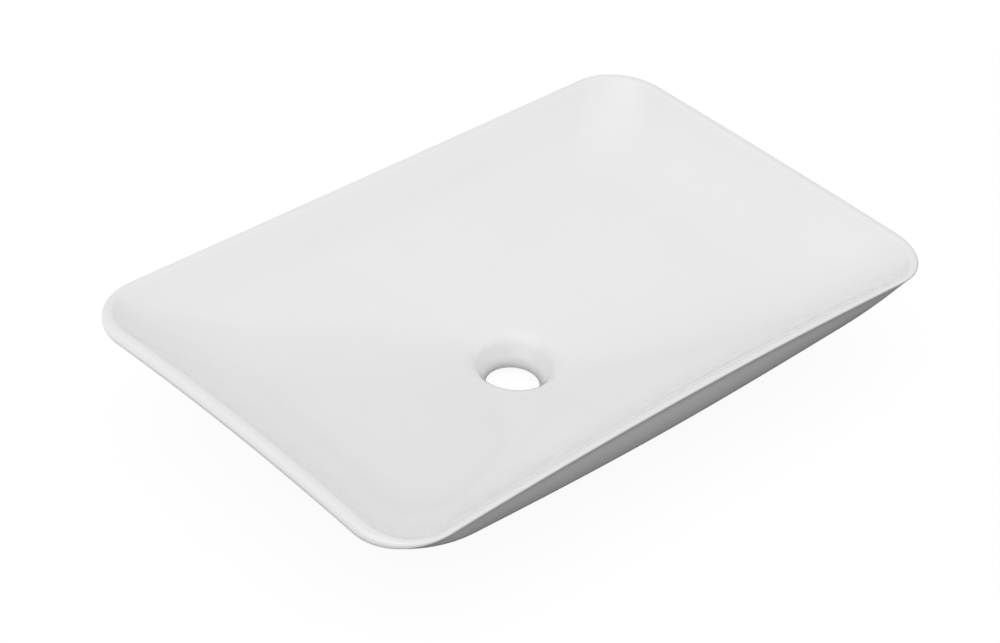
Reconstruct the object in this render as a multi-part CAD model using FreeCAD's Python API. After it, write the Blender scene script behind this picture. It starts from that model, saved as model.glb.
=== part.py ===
import FreeCAD, Part
import math
import os

# Counter-top hand basin in glazed vitreous china: a rectangular bowl with a soft pyramid of a dish
# and a rolled lip, a hull-shaped skirt under it, a ring foot, and a collar round the waste hole.
# The origin is on the counter under the middle of the waste hole, +Z is up and +X is to the right.

# Overall sizes, in millimetres
length = 600.0
width = 380.0
height = 115.0
wall = 10.5

# Rim, seen from above and from the side: its long sides and ends bow in, its corners hang lower
rim_corner_radius = 51.5
corner_drop = 4.3
side_hollow = 1.7
end_hollow = 1.8

# Dish, on its inner face, angles in degrees from level
side_wall_angle = 44.0
end_wall_angle = 39.0
floor_edge_depth = 38.0
side_bend_radius = 112.0
end_bend_radius = 165.0
floor_corner_radius = 45.0

# Outer wall: in every upright cut an arc that leaves the lip at this angle and ends on the land
side_rise_angle = 57.5
end_rise_angle = 43.0
side_belly = 11.6

# Skirt: the outer wall below this depth, where it meets the underside of the dish
shoulder_depth = 40.0

# Land: the flat underside of the skirt that the ring foot is stuck to
land_length = 330.0
land_width = 200.0
land_corner_radius = 66.0
land_breadth = 18.0

# Ring foot
foot_height = 12.0
foot_inset = 2.0
foot_breadth = 14.0
foot_edge_bevel = 2.0

# Waste hole: a rounded mouth that starts at this angle, then a straight hole through the collar,
# which stays clear of the counter
waste_radius = 22.5
waste_rounding = 13.4
mouth_edge_angle = 23.4
collar_depth = 10.0
collar_clearance = 6.0
collar_edge_bevel = 1.2

# How finely the casting is drawn: numbers of strips along each stretch of an upright cut
skirt_strip_count = 6
shoulder_strip_count = 3
lip_strip_count = 10
dish_strip_count = 8
floor_strip_count = 5
mouth_strip_count = 4
root_strip_count = 2
dish_strip_power = 1.6
straight_limit = 0.001

half_wall = wall / 2
collar_top = collar_clearance + collar_depth
waste_depth = height - collar_top
land_depth = height - foot_height
mouth_centre = (waste_radius + waste_rounding, waste_depth)
mouth_edge = (mouth_centre[0] - waste_rounding * math.sin(math.radians(mouth_edge_angle)),
              mouth_centre[1] - waste_rounding * math.cos(math.radians(mouth_edge_angle)))
root_radius = mouth_centre[0] - (waste_rounding - wall) * math.sin(math.radians(mouth_edge_angle))


def spread(count):
    return [step / count for step in range(count + 1)]


def mix(start, end, share):
    return start + (end - start) * share


def ease(share):
    return share * share * (3 - 2 * share)


def on_arc(centre, radius, angle):
    # Point of an arc in an upright cut, as (span, depth), by its angle from straight down
    return centre[0] + radius * math.sin(angle), centre[1] + radius * math.cos(angle)


def arc(centre, radius, first, last, strips):
    return [on_arc(centre, radius, mix(first, last, share)) for share in spread(strips)]


def straight(start, end, strips):
    return [(mix(start[0], end[0], share), mix(start[1], end[1], share)) for share in spread(strips)]


def hull_arc(half_span, rise, land_half):
    # Outer wall from the lip down to the land: centre and radius of its arc, and its angle at the land
    top = on_arc((half_span - half_wall, half_wall), half_wall, rise)
    across, up = top[0] - land_half, land_depth - top[1]
    half_turn = rise - math.atan2(up, across)
    radius = math.hypot(across, up) / (2 * math.sin(half_turn))
    return on_arc(top, -radius, rise), radius, rise - 2 * half_turn


def inner_face(half_span, slope, bend_radius):
    # Inner face in an upright cut: a straight wall from the lip, a bend, and a floor down to the mouth
    slope = math.radians(slope)
    start = on_arc((half_span - half_wall, half_wall), half_wall, math.pi + slope)
    edge = start[0] - (floor_edge_depth - start[1]) / math.tan(slope)
    fall = math.atan2(mouth_edge[1] - floor_edge_depth, edge - mouth_edge[0])
    tangent = bend_radius * math.tan((slope - fall) / 2)
    top = edge + tangent * math.cos(slope), floor_edge_depth - tangent * math.sin(slope)
    return {"start": start, "slope": slope, "fall": fall, "radius": bend_radius,
            "centre": on_arc(top, -bend_radius, slope)}


def bend_depth(face, angle, thickness):
    return face["centre"][1] + (face["radius"] + thickness) * math.cos(angle)


def bend_point(face, depth, thickness):
    radius = face["radius"] + thickness
    return on_arc(face["centre"], radius, math.acos((depth - face["centre"][1]) / radius))


def face_point(face, depth):
    if depth < bend_depth(face, face["slope"], 0):
        return face["start"][0] - (depth - face["start"][1]) / math.tan(face["slope"]), depth
    if depth > bend_depth(face, face["fall"], 0):
        return mouth_edge[0] + (mouth_edge[1] - depth) / math.tan(face["fall"]), depth
    return bend_point(face, depth, 0)


def cut(half_span, rise, land_half, face, floor_depth, under_depth):
    # One upright cut through the casting: each stretch as points of (span, depth)
    rise = math.radians(rise)
    lip = arc((half_span - half_wall, half_wall), half_wall, rise, math.pi + face["slope"], lip_strip_count)
    falls = [1 - (1 - share) ** dish_strip_power for share in spread(dish_strip_count)]
    shoulder = max(shoulder_depth, bend_depth(face, face["slope"], wall))
    centre, radius, foot = hull_arc(half_span, rise, land_half)
    seam = math.acos((shoulder - centre[1]) / radius)
    mouth_angle = math.radians(mouth_edge_angle)
    dish = [face_point(face, mix(lip[-1][1], floor_depth, share)) for share in falls]
    root = arc(mouth_centre, wall - waste_rounding, math.pi / 2, mouth_angle, root_strip_count)
    contact = [bend_point(face, depth, wall) for depth in (under_depth, shoulder)]
    return {
        "land": [(land_half - land_breadth, land_depth)],
        "skirt": arc(centre, radius, foot, seam, skirt_strip_count),
        "shoulder": arc(centre, radius, seam, rise, shoulder_strip_count),
        "lip": lip,
        "dish": dish,
        "floor": straight(dish[-1], mouth_edge, floor_strip_count),
        "mouth": arc(mouth_centre, -waste_rounding, mouth_angle, math.pi / 2, mouth_strip_count),
        "root": root,
        "underside": straight(root[-1], contact[0], floor_strip_count),
        "contact": contact,
    }


def shape(stretch, share, end, side):
    # Corner radius, share of the rim's shape and share of the belly at a place along a stretch
    smallest = min(end[0], side[0])
    climb = min((land_depth - (end[1] + side[1]) / 2) / (land_depth - wall), 1)
    inset = (length / 2 - end[0] + width / 2 - side[0]) / 2
    radius, rim, belly = smallest, 0, 0
    if stretch == "land":
        radius = land_corner_radius - land_breadth
    elif stretch in ("skirt", "shoulder"):
        radius = mix(land_corner_radius, rim_corner_radius, ease(climb))
        rim, belly = ease(climb), math.sin(math.pi * climb)
    elif stretch == "lip":
        radius, rim = rim_corner_radius - inset, 1
    elif stretch == "dish":
        radius, rim = mix(rim_corner_radius - wall, floor_corner_radius, share), 1 - ease(share)
    elif stretch == "floor":
        radius = mix(floor_corner_radius, mouth_edge[0], share)
    elif stretch == "underside":
        radius = mix(root_radius, floor_corner_radius + half_wall, share)
    elif stretch == "contact":
        radius = floor_corner_radius + half_wall
    return min(radius, smallest), rim, belly


def sections():
    # The closed lines round the casting along each stretch
    end_face = inner_face(length / 2, end_wall_angle, end_bend_radius)
    side_face = inner_face(width / 2, side_wall_angle, side_bend_radius)
    floor_depth = max(bend_depth(face, face["fall"], 0) for face in (end_face, side_face))
    under_depth = min(bend_depth(face, face["fall"], wall) for face in (end_face, side_face))
    ends = cut(length / 2, end_rise_angle, land_length / 2, end_face, floor_depth, under_depth)
    sides = cut(width / 2, side_rise_angle, land_width / 2, side_face, floor_depth, under_depth)
    rings = {}
    for stretch in ends:
        pairs = list(zip(ends[stretch], sides[stretch]))
        shares = spread(len(pairs) - 1) if len(pairs) > 1 else [0]
        rings[stretch] = []
        for share, (end, side) in zip(shares, pairs):
            rings[stretch].append(section(end, side, *shape(stretch, share, end, side)))
    return rings


def section(end_station, side_station, radius, rim, belly):
    # One closed line round the casting, with the rim's hollow sides and low corners where it is high
    (half_length, end_depth), (half_width, side_depth) = end_station, side_station
    end_straight_share = 1 - rim_corner_radius / (width / 2)
    side_straight_share = 1 - rim_corner_radius / (length / 2)
    is_round = radius == min(half_length, half_width)
    corner_start = (half_length, 0 if is_round else half_width - radius, end_depth)
    corner_stop = (0 if is_round else half_length - radius, half_width, side_depth)
    places = []
    for x, y, depth in ((half_length, 0, end_depth), corner_start, corner_stop, (0, half_width, side_depth)):
        u, v = x / half_length, y / half_width
        depth += corner_drop * rim * (u * v) ** 2
        x -= end_hollow * rim * (1 - (v / end_straight_share) ** 2) * u
        y -= side_hollow * rim * (1 - (u / side_straight_share) ** 2) * v
        y += side_belly * belly * (1 - u * u) * v
        places.append((x, y, height - depth))
    end, start, stop, side = places
    sides = []
    for sign in (1, -1):
        sides.append(bowed_edge(*[FreeCAD.Vector(sign * x, sign * y, z) for x, y, z in
                                  ((start[0], -start[1], start[2]), end, start)]))
        sides.append(bowed_edge(*[FreeCAD.Vector(sign * x, sign * y, z) for x, y, z in
                                  (stop, side, (-stop[0], stop[1], stop[2]))]))
    ring = []
    for turn in range(4):
        ring += [sides[turn], corner_edge(sides, turn)]
    return ring


def bowed_edge(first, middle, last):
    # Arc through three points, a straight edge where they lie in line, or a point where they are one
    if first.distanceToPoint(last) < straight_limit:
        return first
    if middle.distanceToLine(first, last - first) < straight_limit:
        return Part.makeLine(first, last)
    return Part.Arc(first, middle, last).toShape()


def side_end(sides, turn, at_start):
    # First or last point of a side, and the way the line runs there
    side, quarter = sides[turn % 4], math.pi / 2 * (turn + 1)
    if isinstance(side, FreeCAD.Vector):
        return side, FreeCAD.Vector(math.cos(quarter), math.sin(quarter), 0)
    place = side.FirstParameter if at_start else side.LastParameter
    return side.valueAt(place), side.tangentAt(place)


def corner_edge(sides, turn):
    # Round corner from the end of one side to the start of the next, in line with both
    first, leaving = side_end(sides, turn, False)
    last, arriving = side_end(sides, turn + 1, True)
    angle = leaving.getAngle(arriving)
    reach = first.distanceToPoint(last) / (2 * math.sin(angle / 2)) * math.tan(angle / 4) * 4 / 3
    middle = (first + last) / 2 + (leaving - arriving) * reach * 3 / 8
    return Part.Arc(first, middle, last).toShape()


def is_flat(edge):
    return isinstance(edge, FreeCAD.Vector) or isinstance(edge.Curve, Part.Line)


def corners_of(edge):
    return [edge] if isinstance(edge, FreeCAD.Vector) else [vertex.Point for vertex in edge.Vertexes]


def strip_face(edge, other):
    # Face between two matching edges of neighbouring lines, flat where both are straight
    if not (is_flat(edge) and is_flat(other)):
        return Part.makeRuledSurface(edge, other)
    outline = corners_of(edge) + corners_of(other)[::-1]
    return Part.Face(Part.makePolygon(outline + outline[:1]))


def casting(rings):
    # Solid with a strip of faces between each line and the next, and from the last back to the first
    faces = []
    for ring, following in zip(rings, rings[1:] + rings[:1]):
        for edge, other in zip(ring, following):
            if len(corners_of(edge) + corners_of(other)) > 2:
                faces.append(strip_face(edge, other))
    shell = Part.Shell(faces)
    shell.sewShape()
    return Part.Solid(shell)


def bowl(rings):
    inside = rings["lip"][1:] + rings["dish"][1:] + rings["floor"][1:-1] + rings["mouth"]
    outside = rings["root"] + rings["underside"][1:-1] + rings["contact"]
    return casting(rings["shoulder"] + inside + outside)


def skirt(rings):
    return casting(rings["skirt"] + rings["contact"][::-1] + rings["land"])


def rounded_block(inset, depth):
    # Upright block on the land's outline moved in by inset
    edges = []
    radius = land_corner_radius - inset
    diagonal = radius * math.sqrt(1 / 2)
    for along, across in ((1, 1), (-1, 1), (-1, -1), (1, -1)):
        x = along * (land_length / 2 - land_corner_radius)
        y = across * (land_width / 2 - land_corner_radius)
        end, side = FreeCAD.Vector(x + along * radius, y, 0), FreeCAD.Vector(x, y + across * radius, 0)
        middle = FreeCAD.Vector(x + along * diagonal, y + across * diagonal, 0)
        first, last = (end, side) if along * across > 0 else (side, end)
        if edges:
            edges.append(Part.makeLine(edges[-1].Vertexes[-1].Point, first))
        edges.append(Part.Arc(first, middle, last).toShape())
    edges.append(Part.makeLine(edges[-1].Vertexes[-1].Point, edges[0].Vertexes[0].Point))
    return Part.Face(Part.Wire(edges)).extrude(FreeCAD.Vector(0, 0, depth))


def foot_ring():
    ring = rounded_block(foot_inset, foot_height).cut(rounded_block(foot_inset + foot_breadth, foot_height))
    tread = [edge for edge in ring.Edges if edge.BoundBox.ZMax < foot_edge_bevel]
    return ring.makeChamfer(foot_edge_bevel, tread)


def waste_collar():
    up = FreeCAD.Vector(0, 0, 1)
    bottom = FreeCAD.Vector(0, 0, collar_clearance)
    ring = Part.makeCylinder(waste_radius + wall, collar_depth, bottom, up)
    ring = ring.cut(Part.makeCylinder(waste_radius, collar_depth, bottom, up))
    lower_edges = [edge for edge in ring.Edges if edge.BoundBox.ZMax < collar_top]
    outside = max(lower_edges, key=lambda edge: edge.Length)
    return ring.makeChamfer(collar_edge_bevel, [outside])


def build():
    os.makedirs("parts", exist_ok=True)
    rings = sections()
    pieces = {"bowl": bowl(rings), "skirt": skirt(rings),
              "foot_ring": foot_ring(), "waste_collar": waste_collar()}
    for name, solid in pieces.items():
        solid.exportStep(os.path.join("parts", name + ".step"))
        print(name, solid.isValid(), len(solid.Solids), round(solid.Volume), solid.BoundBox)


if __name__ == "__main__":
    build()
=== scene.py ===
import math
import bmesh
import bpy
from mathutils import Matrix, Vector


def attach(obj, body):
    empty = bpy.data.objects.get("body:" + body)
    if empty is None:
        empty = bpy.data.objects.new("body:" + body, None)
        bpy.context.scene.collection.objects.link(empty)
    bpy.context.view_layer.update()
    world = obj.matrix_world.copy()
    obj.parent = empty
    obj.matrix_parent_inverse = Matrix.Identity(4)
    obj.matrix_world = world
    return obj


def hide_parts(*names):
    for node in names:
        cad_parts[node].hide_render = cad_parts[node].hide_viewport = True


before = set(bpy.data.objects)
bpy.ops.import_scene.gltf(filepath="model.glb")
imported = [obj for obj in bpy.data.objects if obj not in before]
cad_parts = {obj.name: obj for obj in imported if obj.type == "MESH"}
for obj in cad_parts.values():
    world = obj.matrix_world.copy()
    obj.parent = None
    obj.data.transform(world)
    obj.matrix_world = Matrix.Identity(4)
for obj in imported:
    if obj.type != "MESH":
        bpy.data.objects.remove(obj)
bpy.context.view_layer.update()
print("frame:", ", ".join(sorted(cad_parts)))


def mix(start, end, share):
    return start + (end - start) * share


def ease(share):
    return share * share * (3 - 2 * share)


def spread(count):
    return [step / count for step in range(count + 1)]


class Wire:  # a node's socket that can stand in sums
    def __init__(self, socket):
        self.socket = socket

    @staticmethod
    def make(tree, kind, settings, sockets, output=0):
        node = tree.nodes.new(kind)
        for key, value in settings.items():
            setattr(node, key, value)
        for key, value in sockets.items():
            if isinstance(value, Wire):
                tree.links.new(value.socket, node.inputs[key])
            else:
                node.inputs[key].default_value = value
        return Wire(node.outputs[output])

    def maths(self, operation, first, second):
        tree = self.socket.id_data
        return Wire.make(tree, "ShaderNodeMath", {"operation": operation}, {0: first, 1: second})

    def __add__(self, other):
        return self.maths("ADD", self, other)

    def __sub__(self, other):
        return self.maths("SUBTRACT", self, other)

    def __rsub__(self, other):
        return self.maths("SUBTRACT", other, self)

    def __mul__(self, other):
        return self.maths("MULTIPLY", self, other)

    def __pow__(self, other):
        return self.maths("POWER", self, other)

    def __gt__(self, other):
        return self.maths("GREATER_THAN", self, other)

    __radd__ = __add__
    __rmul__ = __mul__


def newFinish(name):
    finish = bpy.data.materials.new(name)
    finish.use_nodes = True
    finish.node_tree.nodes.clear()
    return finish, finish.node_tree


def tint(tree, low, high, share):  # sockets 6, 7 and 2 are the node's two colours and its result
    low, high = (tone if isinstance(tone, Wire) else (*tone, 1) for tone in (low, high))
    return Wire.make(tree, "ShaderNodeMix", {"data_type": "RGBA"}, {0: share, 6: low, 7: high}, 2)


def noise(tree, place, scale, detail=2):
    return Wire.make(tree, "ShaderNodeTexNoise", {}, {"Vector": place, "Scale": scale, "Detail": detail})


def closeFinish(tree, shader):
    output = tree.nodes.new("ShaderNodeOutputMaterial")
    tree.links.new(shader.socket, output.inputs["Surface"])


glazeLook = {
    "thin": (0.835, 0.835, 0.83), "thick": (0.85, 0.85, 0.85), "mottleScale": 14,
    "smooth": 0.07, "dull": 0.11, "wearScale": 60,
    "rippleScale": 22, "rippleHeight": 0.00004, "peelScale": 300, "peelHeight": 0.000002, "ior": 1.52,
}
clayLook = {
    "pale": (0.70, 0.67, 0.61), "dark": (0.60, 0.56, 0.50), "cloudScale": 40, "cloudDetail": 4,
    "speckScale": 900, "speckFrom": 0.70, "speckShare": 0.6, "speck": (0.42, 0.36, 0.30),
    "grindScale": (900, 60, 60), "grindDetail": 3, "grindHeight": 0.00003, "roughness": 0.82,
    "glazeLine": 0.0036, "lineWaver": 0.0012, "waverScale": 45,
}


def glazeShader(tree, place):
    look = glazeLook
    mottle = noise(tree, place, look["mottleScale"])
    colour = tint(tree, look["thin"], look["thick"], mottle)
    roughness = look["smooth"] + noise(tree, place, look["wearScale"]) * (look["dull"] - look["smooth"])
    ripple = noise(tree, place, look["rippleScale"], 1)
    peel = noise(tree, place, look["peelScale"], 1)
    height = ripple * look["rippleHeight"] + peel * look["peelHeight"]
    bump = Wire.make(tree, "ShaderNodeBump", {}, {"Strength": 1, "Distance": 1, "Height": height})
    return Wire.make(tree, "ShaderNodeBsdfPrincipled", {},
                     {"Base Color": colour, "Roughness": roughness, "Normal": bump, "IOR": look["ior"]})


def glazeFinish():
    finish, tree = newFinish("whiteGlaze")
    place = Wire.make(tree, "ShaderNodeTexCoord", {}, {}, "Object")
    closeFinish(tree, glazeShader(tree, place))
    return finish


def footFinish():
    look = clayLook
    finish, tree = newFinish("groundFoot")
    place = Wire.make(tree, "ShaderNodeTexCoord", {}, {}, "Object")
    cloud = noise(tree, place, look["cloudScale"], look["cloudDetail"])
    body = tint(tree, look["dark"], look["pale"], cloud)
    speck = noise(tree, place, look["speckScale"], 1) > look["speckFrom"]
    colour = tint(tree, body, look["speck"], speck * look["speckShare"])
    stretched = Wire.make(tree, "ShaderNodeMapping", {}, {"Vector": place, "Scale": look["grindScale"]})
    height = noise(tree, stretched, 1, look["grindDetail"]) * look["grindHeight"]
    bump = Wire.make(tree, "ShaderNodeBump", {}, {"Strength": 1, "Distance": 1, "Height": height})
    clay = Wire.make(tree, "ShaderNodeBsdfPrincipled", {},
                     {"Base Color": colour, "Roughness": look["roughness"], "Normal": bump})
    level = Wire.make(tree, "ShaderNodeSeparateXYZ", {}, {"Vector": place}, "Z")
    glazed = level + noise(tree, place, look["waverScale"]) * look["lineWaver"] > look["glazeLine"]
    glaze = glazeShader(tree, place)
    closeFinish(tree, Wire.make(tree, "ShaderNodeMixShader", {}, {0: glazed, 1: clay, 2: glaze}))
    return finish


whiteGlaze = glazeFinish()
groundFoot = footFinish()
print("finishes: glaze and ground foot")


casting = {  # metres, and degrees from level
    "length": 0.600, "width": 0.380, "height": 0.115, "wall": 0.0105,
    "rimCorner": 0.0515, "cornerDrop": 0.0043, "sideHollow": 0.0034, "endHollow": 0.0018,
    "sideSlope": 44.0, "sideBend": 0.112, "sideFloorEdge": 0.038,
    "sideLipEdge": 0.008, "sideLipTurn": 0.0015,
    "endSlope": 46.0, "endBend": 0.165, "endFloorEdge": 0.0368, "endFlat": 0.0022,
    "endLipEdge": 0.006, "endLipTurn": 0.00525,
    "floorCorner": 0.045, "dishPower": 1.3,
    "sideRise": 61.5, "endRise": 43.0, "sideBelly": 0.0125, "shoulder": 0.040,
    "landLength": 0.330, "landWidth": 0.200, "landCorner": 0.066, "landBreadth": 0.018, "footHeight": 0.012,
    "wasteRadius": 0.0225, "wasteRounding": 0.022, "wasteTop": 0.016, "rootRounding": 0.0029,
    "coneSlope": 56.0, "coneBreadth": 0.0085, "coneSink": 0.0045,
    "endPoints": 12, "cornerPoints": 16, "sidePoints": 18, "pointPower": 1.5, "seamStep": 0.005,
    "turnPoints": 18, "edgePoints": 12, "roundPoints": 15, "conePoints": 7, "mergeWithin": 0.000001,
}
halfWall = casting["wall"] / 2
wasteDepth = casting["height"] - casting["wasteTop"]
landDepth = casting["height"] - casting["footHeight"]
cone = math.radians(casting["coneSlope"])
coneFoot = (casting["wasteRadius"] + casting["coneSink"] / math.tan(cone), wasteDepth)
coneTop = (casting["wasteRadius"] + casting["coneBreadth"],
           wasteDepth + casting["coneSink"] - casting["coneBreadth"] * math.tan(cone))
mouthCentre = (coneTop[0] + casting["wasteRounding"] * math.sin(cone),
               coneTop[1] + casting["wasteRounding"] * math.cos(cone))
rootCentre = (casting["wasteRadius"] + casting["wall"] + casting["rootRounding"], wasteDepth)
steps = {  # shares along each stretch of an upright cut, with close lines beside the seam
    "land": [0], "skirt": spread(20)[:-1] + [1 - casting["seamStep"], 1],
    "shoulder": [0, casting["seamStep"]] + spread(10)[1:],
    "lip": spread(casting["turnPoints"] + casting["edgePoints"] + 1), "dish": spread(48), "floor": spread(12),
    "mouth": spread(casting["roundPoints"] + casting["conePoints"]),
    "root": spread(6), "underside": spread(6), "contact": spread(1),
}


def onArc(centre, radius, angle):  # points of an upright cut are distance from the middle and depth
    return centre[0] + radius * math.sin(angle), centre[1] + radius * math.cos(angle)


def arc(centre, radius, first, last, shares):
    return [onArc(centre, radius, mix(first, last, share)) for share in shares]


def straight(start, end, shares):
    return [(mix(start[0], end[0], share), mix(start[1], end[1], share)) for share in shares]


def hullArc(halfSpan, rise, landHalf, lipTurn):  # one arc from the lip's outer turn to the land
    top = onArc((halfSpan - lipTurn, lipTurn), lipTurn, rise)
    across, up = top[0] - landHalf, landDepth - top[1]
    halfTurn = rise - math.atan2(up, across)
    radius = math.hypot(across, up) / (2 * math.sin(halfTurn))
    return onArc(top, -radius, rise), radius, rise - 2 * halfTurn


# wall, bend, and a floor that runs into the mouth
def innerFace(halfSpan, slope, bendRadius, floorEdge, lipTop, edgeRadius):
    slope = math.radians(slope)
    lipCentre = (halfSpan - lipTop, edgeRadius)
    start = onArc(lipCentre, edgeRadius, math.pi + slope)
    edge = start[0] - (floorEdge - start[1]) / math.tan(slope)
    out, down = edge - mouthCentre[0], mouthCentre[1] - floorEdge
    fall = math.atan2(down, out) - math.asin(casting["wasteRounding"] / math.hypot(out, down))
    tangent = bendRadius * math.tan((slope - fall) / 2)
    top = edge + tangent * math.cos(slope), floorEdge - tangent * math.sin(slope)
    return {"lipCentre": lipCentre, "lipEdge": edgeRadius,
            "start": start, "slope": slope, "fall": fall, "radius": bendRadius,
            "centre": onArc(top, -bendRadius, slope),
            "mouth": onArc(mouthCentre, -casting["wasteRounding"], fall)}


def bendDepth(face, angle, thickness):
    return face["centre"][1] + (face["radius"] + thickness) * math.cos(angle)


def bendPoint(face, depth, thickness):
    radius = face["radius"] + thickness
    return onArc(face["centre"], radius, math.acos((depth - face["centre"][1]) / radius))


def facePoint(face, depth):  # on the wall, on the floor or in the bend between them
    if depth < bendDepth(face, face["slope"], 0):
        return face["start"][0] - (depth - face["start"][1]) / math.tan(face["slope"]), depth
    if depth > bendDepth(face, face["fall"], 0):
        return face["mouth"][0] + (face["mouth"][1] - depth) / math.tan(face["fall"]), depth
    return bendPoint(face, depth, 0)


# an upright cut through the middle of an end or a side, stretch by stretch
def upright(halfSpan, rise, landHalf, lipTurn, face, floorDepth, underDepth):
    rise = math.radians(rise)
    lip = arc((halfSpan - lipTurn, lipTurn), lipTurn, rise, math.pi, spread(casting["turnPoints"]))
    lip += arc(face["lipCentre"], face["lipEdge"], math.pi, math.pi + face["slope"],
               spread(casting["edgePoints"]))
    falls = [1 - (1 - share) ** casting["dishPower"] for share in steps["dish"]]
    dish = [facePoint(face, mix(lip[-1][1], floorDepth, share)) for share in falls]
    mouth = arc(mouthCentre, -casting["wasteRounding"], face["fall"], cone, spread(casting["roundPoints"]))
    mouth += straight(coneTop, coneFoot, spread(casting["conePoints"])[1:])
    root = arc(rootCentre, -casting["rootRounding"], math.pi / 2, face["fall"], steps["root"])
    seamDepth = max(casting["shoulder"], bendDepth(face, face["slope"], casting["wall"]))
    contact = [bendPoint(face, depth, casting["wall"]) for depth in (underDepth, seamDepth)]
    centre, radius, foot = hullArc(halfSpan, rise, landHalf, lipTurn)
    seam = math.acos((seamDepth - centre[1]) / radius)
    return {
        "land": [(landHalf - casting["landBreadth"], landDepth)],
        "skirt": arc(centre, radius, foot, seam, steps["skirt"]),
        "shoulder": arc(centre, radius, seam, rise, steps["shoulder"]),
        "lip": lip,
        "dish": dish,
        "floor": straight(dish[-1], face["mouth"], steps["floor"]),
        "mouth": mouth,
        "root": root,
        "underside": straight(root[-1], contact[0], steps["underside"]),
        "contact": contact,
    }


endFace = innerFace(casting["length"] / 2, casting["endSlope"], casting["endBend"],
                    casting["endFloorEdge"], casting["endLipTurn"] + casting["endFlat"],
                    casting["endLipEdge"])
sideFace = innerFace(casting["width"] / 2, casting["sideSlope"], casting["sideBend"],
                     casting["sideFloorEdge"], casting["sideLipTurn"], casting["sideLipEdge"])
lipInset = (casting["length"] / 2 - endFace["start"][0] + casting["width"] / 2 - sideFace["start"][0]) / 2


def cornerShape(stretch, share, end, side):  # corner radius, share of the rim's shape, share of the belly
    smallest = min(end[0], side[0])
    climb = min((landDepth - (end[1] + side[1]) / 2) / (landDepth - casting["wall"]), 1)
    inset = (casting["length"] / 2 - end[0] + casting["width"] / 2 - side[0]) / 2
    radius, rim, belly = smallest, 0, 0
    if stretch == "land":
        radius = casting["landCorner"] - casting["landBreadth"]
    elif stretch in ("skirt", "shoulder"):
        radius = mix(casting["landCorner"], casting["rimCorner"], ease(climb))
        rim, belly = ease(climb), math.sin(math.pi * climb)
    elif stretch == "lip":
        radius, rim = casting["rimCorner"] - inset, 1
    elif stretch == "dish":
        radius, rim = mix(casting["rimCorner"] - lipInset, casting["floorCorner"], share), 1 - ease(share)
    elif stretch == "floor":
        radius = mix(casting["floorCorner"], smallest, share)
    elif stretch == "underside":
        radius = mix(smallest, casting["floorCorner"] + halfWall, share)
    elif stretch == "contact":
        radius = casting["floorCorner"] + halfWall
    return min(radius, smallest), rim, belly


def quarterShares():  # points stand closer towards the corner
    straightEnd = casting["width"] / 2 - casting["rimCorner"]
    straightSide = casting["length"] / 2 - casting["rimCorner"]
    corner = casting["rimCorner"] * math.pi / 2
    whole = straightEnd + corner + straightSide
    power = casting["pointPower"]
    shares = [straightEnd * (1 - (1 - share) ** power) / whole for share in spread(casting["endPoints"])]
    shares += [(straightEnd + corner * share) / whole for share in spread(casting["cornerPoints"])[1:]]
    shares += [(straightEnd + corner + straightSide * share ** power) / whole
               for share in spread(casting["sidePoints"])[1:]]
    return shares


def onQuarter(halfLength, halfWidth, radius, share):  # from the end's middle round to the side's middle
    straightEnd, straightSide = halfWidth - radius, halfLength - radius
    corner = radius * math.pi / 2
    run = share * (straightEnd + corner + straightSide)
    if run <= straightEnd:
        return halfLength, run, 0
    if run >= straightEnd + corner:
        return straightSide - (run - straightEnd - corner), halfWidth, 1
    turn = (run - straightEnd) / radius
    return (straightSide + radius * math.cos(turn), straightEnd + radius * math.sin(turn),
            (run - straightEnd) / corner)


def closedLine(end, side, radius, rim, belly):  # one quarter, then its mirror pictures
    (halfLength, endDepth), (halfWidth, sideDepth) = end, side
    endStraight = 1 - casting["rimCorner"] / (casting["width"] / 2)
    sideStraight = 1 - casting["rimCorner"] / (casting["length"] / 2)
    quarter = []
    for share in quarterShares():
        x, y, roundCorner = onQuarter(halfLength, halfWidth, radius, share)
        u, v = x / halfLength, y / halfWidth
        depth = mix(endDepth, sideDepth, ease(roundCorner)) + casting["cornerDrop"] * rim * (u * v) ** 2
        x -= casting["endHollow"] * rim * (1 - (v / endStraight) ** 2) * u
        y -= casting["sideHollow"] * rim * (1 - (u / sideStraight) ** 2) * v
        y += casting["sideBelly"] * belly * (1 - u * u) * v
        quarter.append((x, y, casting["height"] - depth))
    line = [Vector(point) for point in quarter[:-1]]
    line += [Vector((-x, y, z)) for x, y, z in quarter[:0:-1]]
    line += [Vector((-x, -y, z)) for x, y, z in quarter[:-1]]
    return line + [Vector((x, -y, z)) for x, y, z in quarter[:0:-1]]


def castingLines():
    floorDepth = max(bendDepth(face, face["fall"], 0) for face in (endFace, sideFace))
    underDepth = min(bendDepth(face, face["fall"], casting["wall"]) for face in (endFace, sideFace))
    ends = upright(casting["length"] / 2, casting["endRise"], casting["landLength"] / 2,
                   casting["endLipTurn"], endFace, floorDepth, underDepth)
    sides = upright(casting["width"] / 2, casting["sideRise"], casting["landWidth"] / 2,
                    casting["sideLipTurn"], sideFace, floorDepth, underDepth)
    lines = {}
    for stretch, shares in steps.items():
        lines[stretch] = [closedLine(end, side, *cornerShape(stretch, share, end, side))
                          for share, end, side in zip(shares, ends[stretch], sides[stretch])]
    return lines


def startPiece(name):
    piece = bpy.context.object
    piece.name = piece.data.name = name
    bpy.ops.object.mode_set(mode="EDIT")
    return piece


smoothAngle = 40  # degrees, sharper edges stay sharp


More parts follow.
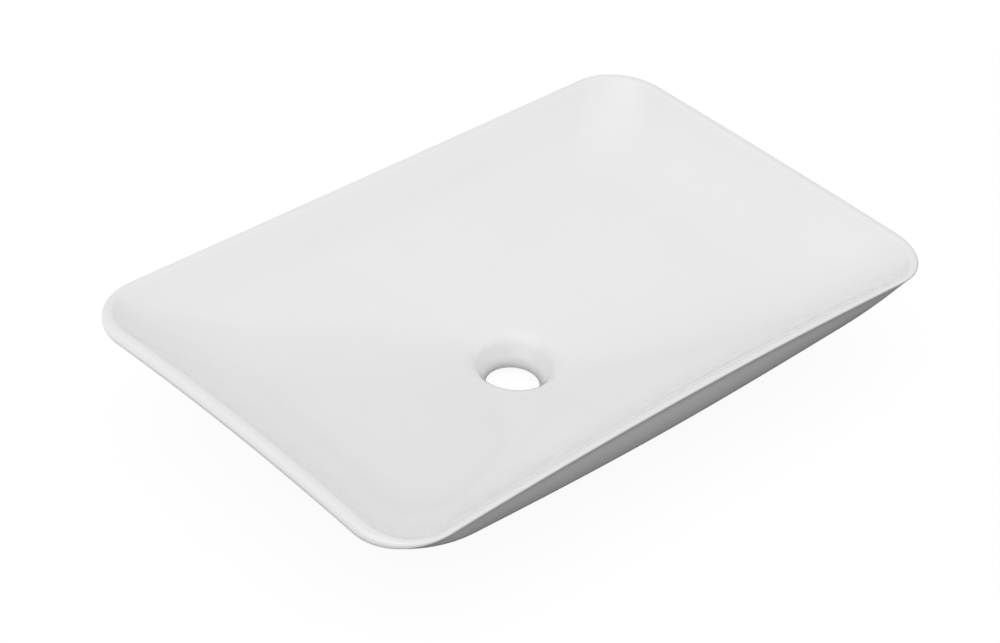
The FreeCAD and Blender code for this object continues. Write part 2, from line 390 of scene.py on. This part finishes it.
def endPiece(piece, finish, nodes):
    bpy.ops.mesh.select_all(action="SELECT")
    bpy.ops.mesh.normals_make_consistent(inside=False)
    bpy.ops.object.mode_set(mode="OBJECT")
    bpy.ops.object.transform_apply(location=True, rotation=True, scale=True)
    bpy.ops.object.shade_smooth_by_angle(angle=math.radians(smoothAngle))
    piece.data.materials.clear()
    piece.data.materials.append(finish)
    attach(piece, "root")
    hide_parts(*nodes)
    print("piece:", piece.name, len(piece.data.polygons), "faces")


def setLine(piece, line):  # the selected ring goes to its place on the casting
    mesh = bmesh.from_edit_mesh(piece.data)
    around = mesh.verts.layers.int["around"]
    for vert in mesh.verts:
        if vert.select:
            vert.co = line[vert[around]]
    bmesh.update_edit_mesh(piece.data)


def castPiece(name, lines):  # a ring is extruded from line to line and closed on the first
    bpy.ops.object.select_all(action="DESELECT")
    bpy.ops.mesh.primitive_circle_add(vertices=len(lines[0]), radius=casting["width"] / 2)
    piece = startPiece(name)
    mesh = bmesh.from_edit_mesh(piece.data)
    around = mesh.verts.layers.int.new("around")
    mesh.verts.ensure_lookup_table()
    vert, edge = mesh.verts[0], mesh.verts[0].link_edges[0]
    for step in range(len(lines[0])):
        vert[around] = step
        vert = edge.other_vert(vert)
        edge = next(other for other in vert.link_edges if other != edge)
    bmesh.update_edit_mesh(piece.data)
    setLine(piece, lines[0])
    for line in lines[1:] + lines[:1]:
        bpy.ops.mesh.extrude_edges_move()
        setLine(piece, line)
    bpy.ops.mesh.select_all(action="SELECT")
    bpy.ops.mesh.remove_doubles(threshold=casting["mergeWithin"])
    return piece


def castBowl(lines):
    inside = lines["lip"][1:] + lines["dish"][1:] + lines["floor"][1:] + lines["mouth"][1:]
    outside = lines["root"] + lines["underside"][1:] + lines["contact"][1:]
    piece = castPiece("dishAndLip", lines["shoulder"] + inside + outside)
    endPiece(piece, whiteGlaze, ["bowl"])


def castSkirt(lines):
    piece = castPiece("hullSkirt", lines["skirt"] + lines["contact"][::-1] + lines["land"])
    endPiece(piece, whiteGlaze, ["skirt"])


lines = castingLines()
castBowl(lines)
castSkirt(lines)

collar = {"outer": 0.033, "bottom": 0.006, "sides": 128, "edgeRound": 0.0012, "edgeSteps": 5}


def turnCollar():
    size = collar
    inner, top, edge = casting["wasteRadius"], casting["wasteTop"], size["edgeRound"]
    low = size["bottom"] + edge
    quarter = [share * math.pi / 2 for share in spread(size["edgeSteps"])]
    cut = [(size["outer"], top)]
    cut += [onArc((size["outer"] - edge, low), edge, math.pi / 2 + turn) for turn in quarter]
    cut += [onArc((inner + edge, low), edge, math.pi + turn) for turn in quarter]
    cut += [(inner, top - casting["coneSink"]), (coneFoot[0], top)]
    turns = [2 * math.pi * side / size["sides"] for side in range(size["sides"])]
    rings = [[Vector((radius * math.cos(turn), radius * math.sin(turn), level)) for turn in turns]
             for radius, level in cut]
    endPiece(castPiece("wasteCollar", rings), whiteGlaze, ["waste_collar"])


turnCollar()

foot = {"length": 0.326, "width": 0.196, "corner": 0.064, "breadth": 0.014, "height": 0.012,
        "cornerSteps": 24, "edgeRound": 0.002, "edgeSteps": 5, "sharpTurn": 0.8, "levelSlack": 0.00001}


def selectEdges(piece, wanted):
    bpy.ops.mesh.select_mode(type="EDGE")
    bpy.ops.mesh.select_all(action="DESELECT")
    mesh = bmesh.from_edit_mesh(piece.data)
    for edge in mesh.edges:
        edge.select_set(wanted(edge))
    mesh.select_flush_mode()
    bmesh.update_edit_mesh(piece.data)


def onTread(edge):  # a sharp edge of the bare tread
    level = all(abs(vert.co.z) < foot["levelSlack"] for vert in edge.verts)
    return level and edge.calc_face_angle(0) > foot["sharpTurn"]


def trailFoot():
    size = foot
    bpy.ops.object.select_all(action="DESELECT")
    bpy.ops.mesh.primitive_plane_add(size=1)
    piece = startPiece("footRing")
    bpy.ops.transform.resize(value=(size["length"], size["width"], 1))
    bpy.ops.mesh.bevel(affect="VERTICES", offset=size["corner"], segments=size["cornerSteps"])
    bpy.ops.mesh.select_mode(type="FACE")
    bpy.ops.mesh.select_all(action="SELECT")
    bpy.ops.mesh.inset(thickness=size["breadth"])
    bpy.ops.mesh.delete(type="FACE")
    bpy.ops.mesh.select_all(action="SELECT")
    bpy.ops.mesh.extrude_region_move(TRANSFORM_OT_translate={"value": (0, 0, size["height"])})
    selectEdges(piece, onTread)
    bpy.ops.mesh.bevel(offset=size["edgeRound"], segments=size["edgeSteps"])
    endPiece(piece, groundFoot, ["foot_ring"])


trailFoot()

stage = {
    # painted light: to all rays but the camera's the floor glows onto the basin, with painted pools of light
    # towards its left and back
    "size": 30.0, "white": 0.92, "shadowed": (0.1, 0.1, 0.1), "paintedGlow": 0.15,
    "paintedGlows": [("X", -0.25, -0.55, 0.46), ("Y", 0.15, 0.35, 0.7)],  # axis, where it starts and is full, strength
}


def floorFinish():  # white with a faint shadow to the camera; to all else a glowing floor, painted light, with painted pools of light at its left and back parts
    finish, tree = newFinish("paleFloor")
    camera = Wire.make(tree, "ShaderNodeLightPath", {}, {}, "Is Camera Ray")
    place = Wire.make(tree, "ShaderNodeTexCoord", {}, {}, "Object")
    lit = stage["paintedGlow"]
    for axis, start, end, strength in stage["paintedGlows"]:
        along = Wire.make(tree, "ShaderNodeSeparateXYZ", {}, {"Vector": place}, axis)
        lit = lit + Wire.make(tree, "ShaderNodeMapRange", {}, {
            "Value": along, "From Min": start, "From Max": end, "To Min": 0, "To Max": strength})
    shaded = Wire.make(tree, "ShaderNodeBsdfDiffuse", {}, {"Color": (*stage["shadowed"], 1)})
    white = Wire.make(tree, "ShaderNodeEmission", {}, {"Color": (1, 1, 1, 1), "Strength": stage["white"]})
    seen = Wire.make(tree, "ShaderNodeAddShader", {}, {0: shaded, 1: white})
    # painted light: the floor's glow, brighter in the painted pools at its left and back, lights the basin from
    # below
    paintedGlow = Wire.make(tree, "ShaderNodeEmission", {}, {"Color": (1, 1, 1, 1), "Strength": lit})
    shown = Wire.make(tree, "ShaderNodeMixShader", {}, {0: camera, 1: paintedGlow, 2: seen})
    below = Wire.make(tree, "ShaderNodeNewGeometry", {}, {}, "Backfacing")
    clear = Wire.make(tree, "ShaderNodeBsdfTransparent", {}, {})
    closeFinish(tree, Wire.make(tree, "ShaderNodeMixShader", {}, {0: below, 1: shown, 2: clear}))
    return finish


bpy.ops.object.select_all(action="DESELECT")
bpy.ops.mesh.primitive_plane_add(size=stage["size"], location=(0, 0, 0))
paleFloor = bpy.context.object
paleFloor.name = "paleFloor"
paleFloor.data.materials.append(floorFinish())

tent = {
    "even": 0.55,
    "softboxes": [  # azimuth, elevation, softness and strength
        (-91, 20, 14, 0.56), (-91, 42, 14, 0.80), (-46, 42, 14, 0.56), (44, 42, 14, 0.72), (74, 28, 60, 0.90),
        (-106, 65, 14, 0.60), (-46, 65, 14, 0.50), (74, 65, 14, 0.20), (0, 90, 12, 0.29), (180, 42, 14, 0.14),
    ],
}


def direction(azimuth, elevation):
    azimuth, elevation = math.radians(azimuth), math.radians(elevation)
    return Vector((math.sin(azimuth) * math.cos(elevation), -math.cos(azimuth) * math.cos(elevation),
                   math.sin(elevation)))


def lightTent():  # white to the camera, an even tent with soft boxes in it to everything else
    world = bpy.data.worlds.new("softTent")
    world.use_nodes = True
    tree = world.node_tree
    tree.nodes.clear()
    camera = Wire.make(tree, "ShaderNodeLightPath", {}, {}, "Is Camera Ray")
    ray = Wire.make(tree, "ShaderNodeTexCoord", {}, {}, "Generated")
    soft = tent["even"]
    for azimuth, elevation, softness, strength in tent["softboxes"]:
        facing = Wire.make(tree, "ShaderNodeVectorMath", {"operation": "DOT_PRODUCT"},
                           {0: ray, 1: direction(azimuth, elevation)}, "Value")
        soft = soft + facing.maths("MAXIMUM", facing, 0) ** softness * strength
    lit = Wire.make(tree, "ShaderNodeBackground", {},
                    {"Color": (1, 1, 1, 1), "Strength": camera + (1 - camera) * soft})
    output = tree.nodes.new("ShaderNodeOutputWorld")
    tree.links.new(lit.socket, output.inputs["Surface"])
    bpy.context.scene.world = world


lightTent()

lens = {"azimuth": -46.04, "elevation": 37.07, "roll": 5.19, "distance": 2.30535,
        "right": -0.01501, "up": -0.03577, "focal": 103.36, "sensor": 36, "reach": 100}


def placeCamera():
    back = direction(lens["azimuth"], lens["elevation"])
    right = direction(lens["azimuth"] + 90, 0)
    up = back.cross(right)
    rimMiddle = Vector((0, 0, casting["height"]))
    place = rimMiddle + back * lens["distance"] + right * lens["right"] + up * lens["up"]
    turn = Matrix((right, up, back)).transposed() @ Matrix.Rotation(math.radians(lens["roll"]), 3, "Z")
    bpy.ops.object.camera_add(location=place, rotation=turn.to_euler())
    camera = bpy.context.object
    camera.data.sensor_width = lens["sensor"]
    camera.data.lens = lens["focal"]
    camera.data.clip_end = lens["reach"]
    bpy.context.scene.camera = camera


placeCamera()
bpy.context.scene.view_settings.view_transform = "Standard"
print("stage: floor, tent and camera")
